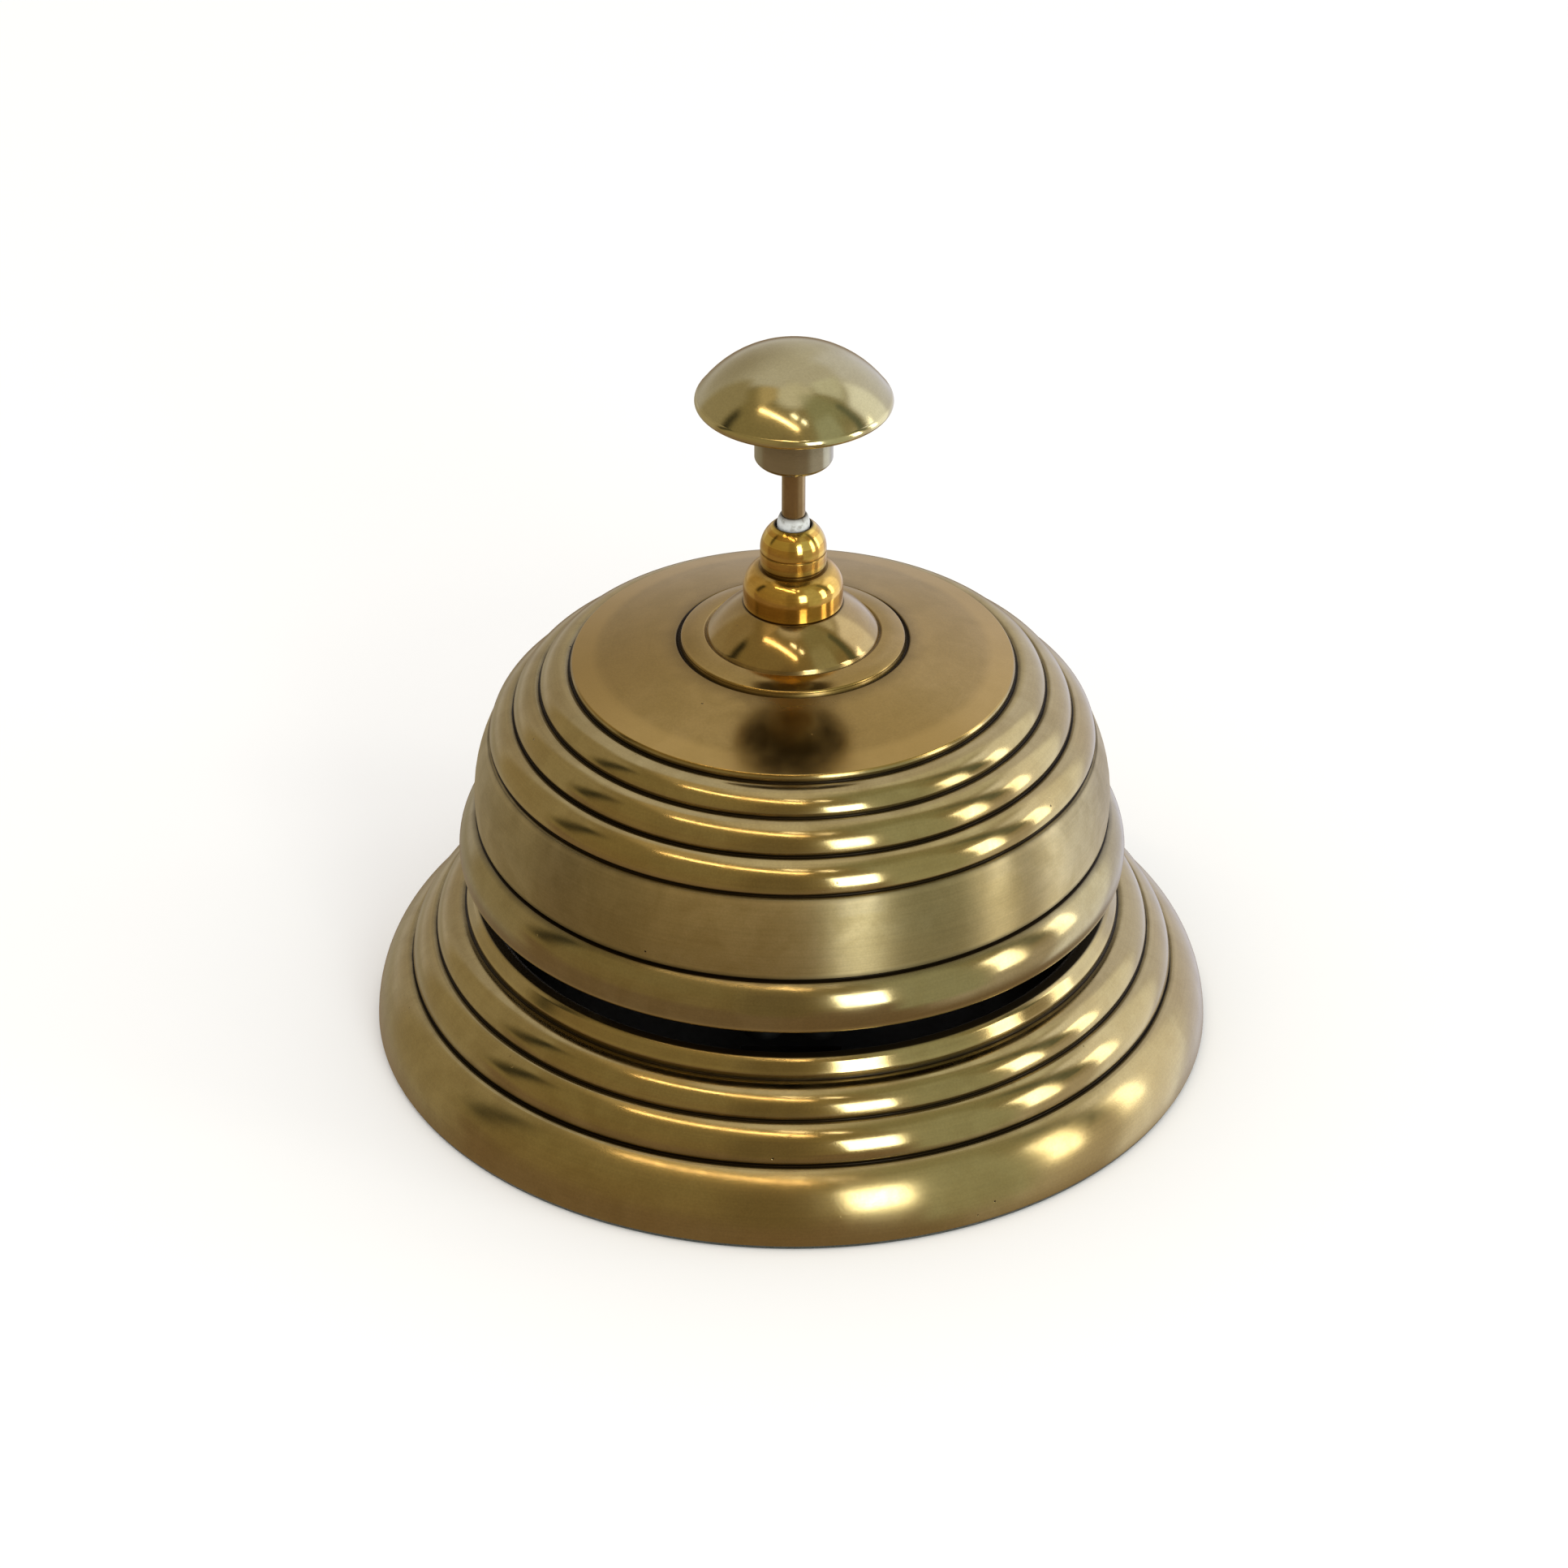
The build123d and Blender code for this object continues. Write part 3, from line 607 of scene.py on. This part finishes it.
drawn = brass("drawn_brass", *DRAWN, rough=0.24, aniso=0.0, marks=0.3, patina_and_shade=0.3, speck=0.6, coat=0.0)
white = nylon("white_nylon")
dark_felt = felt("dark_felt")
ZINC = (0.62, 0.62, 0.60), (0.48, 0.48, 0.46)  # light and dark
GAP_SHADE_BLACK = (0.007, 0.007, 0.008), (0.013, 0.012, 0.011)
RED = (0.30, 0.07, 0.04), (0.22, 0.05, 0.03)
RUBBER = (0.016, 0.016, 0.016), (0.026, 0.026, 0.025)
zinc = plain("zinc_steel", *ZINC, rough=0.26)
# Near-black for parts seen in the gap under the bell, which paints the gap's shade.
gap_shade_black = plain("gap_shade_black", *GAP_SHADE_BLACK, rough=0.5, metallic=0.0, scale=200.0)
fibre = plain("red_fibre", *RED, rough=0.55, metallic=0.0, scale=900.0)
rubber = plain("black_rubber", *RUBBER, rough=0.62, metallic=0.0, scale=700.0)

bell_dome(antique, dish_brass, crown_brass, band_brass, lip_brass)
base_skirt(antique, outer_brass)
finial(polished)
bush(white)
stem(drawn)
knob(knob_brass, grey_brass)
felt_disc(dark_felt)
spring(zinc)

# Nodes that keep their CAD mesh; the near-black ones paint shade into the gap under the bell
INNER = {
    "base_plate": gap_shade_black, "mechanism_frame": gap_shade_black, "base_screws": zinc, "frame_screws": gap_shade_black,
    "post_sleeve": zinc, "post_nut": zinc, "post_washer": zinc, "plunger_collar": zinc,
    "striker_lever": zinc, "striker_rivet": zinc, "pivot_pin": zinc, "pivot_clip": zinc, "stop_pin": zinc,
    "lever_bush": drawn, "striker_head": drawn, "dome_washer": fibre, "stop_sleeve": rubber,
}
for node, material in INNER.items():
    cad = frame["nodes"][node]
    cad.data.materials.clear()
    cad.data.materials.append(material)


# --- stage --------------------------------------------------------------------------------------------
AIM = Vector((0, 0, 0.05))
LIGHT_DISTANCE = 2.4
SKY = (1.05, 1.05, 1.05)  # radiance for the camera and for matte surfaces
GAPS = (0.33, 0.27, 0.14)  # radiance between the panels


def stage_floor():
    """Plain pale floor. The brass mirrors the world's desk colour instead of it."""
    s = Shader("pale_floor")
    s.fix(Base_Color=(0.86, 0.86, 0.855, 1.0), Roughness=0.7, Specular_IOR_Level=0.2)
    mesh = bpy.data.meshes.new("floor")
    half = 8.0
    corners = [(-half, -half, 0), (half, -half, 0), (half, half, 0), (-half, half, 0)]
    mesh.from_pydata(corners, [], [(0, 1, 2, 3)])
    mesh.materials.append(s.material)
    floor = bpy.data.objects.new("floor", mesh)
    floor.visible_glossy = False
    bpy.context.scene.collection.objects.link(floor)


def heading(azimuth, elevation):
    """Direction from the bell; azimuth 0 is the camera's side and grows to the right."""
    a, e = math.radians(azimuth), math.radians(elevation)
    return Vector((math.sin(a) * math.cos(e), -math.cos(a) * math.cos(e), math.sin(e)))


def area_light(name, width, height, radiance, colour):
    """Rectangular light of even radiance, which the camera doesn't see."""
    data = bpy.data.lights.new(name, "AREA")
    data.shape = "RECTANGLE"
    data.size, data.size_y, data.color = width, height, colour
    data.energy = radiance * data.size * data.size_y * math.pi
    light = bpy.data.objects.new(name, data)
    light.visible_camera = False
    bpy.context.scene.collection.objects.link(light)
    return light


def softbox(name, azimuth, elevation, width, height, radiance, colour):
    """Light aimed at the bell; width and height are angles in degrees seen from the bell."""
    across, up = (2 * LIGHT_DISTANCE * math.tan(math.radians(angle / 2)) for angle in (width, height))
    light = area_light(name, across, up, radiance, colour)
    back = heading(azimuth, elevation)
    light.location = AIM + back * LIGHT_DISTANCE
    light.rotation_mode = "QUATERNION"
    light.rotation_quaternion = back.to_track_quat("Z", "Y")


def tube(name, start, end, thick, radiance, colour):
    """Straight strip light overhead, between two points, facing the floor."""
    a, b = Vector(start), Vector(end)
    light = area_light(name, (b - a).length, thick, radiance, colour)
    light.location = (a + b) / 2
    light.rotation_euler = (0, 0, math.atan2(b.y - a.y, b.x - a.x))


# Soft panels of the studio: azimuth, elevation, width, height and edge softness in degrees, then radiance.
PANELS = {
    "desk": (0, -50, 400, 96, 6, (0.27, 0.195, 0.125)),
    "desk_right": (108, -12, 120, 40, 25, (0.62, 0.57, 0.52)),
    "desk_left": (-135, -12, 60, 36, 20, (0.42, 0.38, 0.29)),
    "ceiling": (0, 90, 400, 32, 10, (0.79, 0.76, 0.68)),
    "ceiling_left": (-98, 68, 50, 16, 10, (0.62, 0.50, 0.29)),
    "ceiling_right": (62, 60, 60, 40, 28, (0.38, 0.38, 0.25)),
    "wall_back": (180, 36, 116, 84, 14, (0.69, 0.67, 0.67)),
    "back_left": (-150, 20, 44, 44, 34, (0.46, 0.42, 0.37)),
    "wall_left": (-114, 14, 36, 72, 10, (0.42, 0.36, 0.24)),
    "door_left": (-89, 25, 10, 34, 9, (0.04, 0.038, 0.024)),
    "front_low": (-42, 6, 84, 26, 14, (0.32, 0.25, 0.13)),
    "front_centre": (-5, 16, 24, 62, 12, (0.24, 0.19, 0.10)),
    "front_right": (50, 18, 32, 76, 8, (0.48, 0.50, 0.38)),
    "wall_right": (114, 6, 34, 76, 10, (1.20, 1.24, 1.36)),
    "wall_right_far": (148, 6, 36, 76, 12, (0.82, 0.83, 0.98)),
    "right_high": (118, 60, 36, 26, 10, (0.80, 0.81, 0.76)),
    "frame_right": (88, 34, 9, 40, 5, (0.14, 0.16, 0.11)),
}


def studio():
    """World of soft panels for the brass to mirror. The camera and matte surfaces get a plain pale sky."""
    world = bpy.data.worlds.new("studio")
    world.use_nodes = True
    s = Nodes(world.node_tree)
    parts = s.add("ShaderNodeSeparateXYZ", {0: s.coordinates("Generated")}).outputs
    degrees = 180 / math.pi
    azimuth = s.times(s.math("ARCTAN2", parts[0], s.times(parts[1], -1.0)), degrees)
    elevation = s.times(s.math("ARCSINE", parts[2]), degrees)
    tone = GAPS
    for azimuth_mid, elevation_mid, width, height, soft, colour in PANELS.values():
        off = s.math("ABSOLUTE", s.math("WRAP", s.math("SUBTRACT", azimuth, azimuth_mid), -180.0, c=180.0))
        inside = s.remap(off, width / 2 + soft / 2, width / 2 - soft / 2)
        level = s.math("ABSOLUTE", s.math("SUBTRACT", elevation, elevation_mid))
        inside = s.times(inside, s.remap(level, height / 2 + soft / 2, height / 2 - soft / 2))
        tone = s.mix(inside, tone, colour)
    ray = s.add("ShaderNodeLightPath").outputs
    pale = s.highest(ray["Is Camera Ray"], ray["Is Diffuse Ray"])
    s.put(world.node_tree.nodes["Background"].inputs[0], s.mix(pale, tone, SKY))
    world.cycles.sampling_method = "NONE"
    bpy.context.scene.world = world


stage_floor()
studio()
softbox("window_front", 23, 19, 15, 29, 7.0, (0.94, 1.0, 0.98))
softbox("window_side_a", 74, 14, 11, 32, 4.5, (1.0, 1.0, 0.92))
softbox("window_side_b", 99, 10, 9, 30, 2.6, (1.0, 1.0, 0.94))
tube("tube_long", (-0.90, -0.30, 1.6), (0.14, -1.15, 1.6), 0.065, 13.0, (1.0, 0.74, 0.42))
tube("tube_short_a", (-0.06, -0.62, 1.6), (0.10, -0.74, 1.6), 0.045, 9.0, (1.0, 0.92, 0.78))
tube("tube_short_b", (0.22, -0.80, 1.6), (0.36, -0.92, 1.6), 0.045, 9.0, (1.0, 0.94, 0.82))

# --- camera -------------------------------------------------------------------------------------------
VIEW_DOWN = math.radians(31.994)
VIEW_ROLL = math.radians(0.2245)
VIEW_FROM = Vector((-1.46, -869.7, 590.8)) * MM
camera_data = bpy.data.cameras.new("camera")
camera_data.lens = 132.2
camera_data.sensor_width = 36.0
camera = bpy.data.objects.new("camera", camera_data)
camera.location = VIEW_FROM
turn = Matrix.Rotation(math.pi / 2 - VIEW_DOWN, 3, "X") @ Matrix.Rotation(VIEW_ROLL, 3, "Z")
camera.rotation_mode = "QUATERNION"
camera.rotation_quaternion = turn.to_quaternion()
bpy.context.scene.collection.objects.link(camera)
bpy.context.scene.camera = camera
bpy.context.scene.view_settings.view_transform = "Standard"
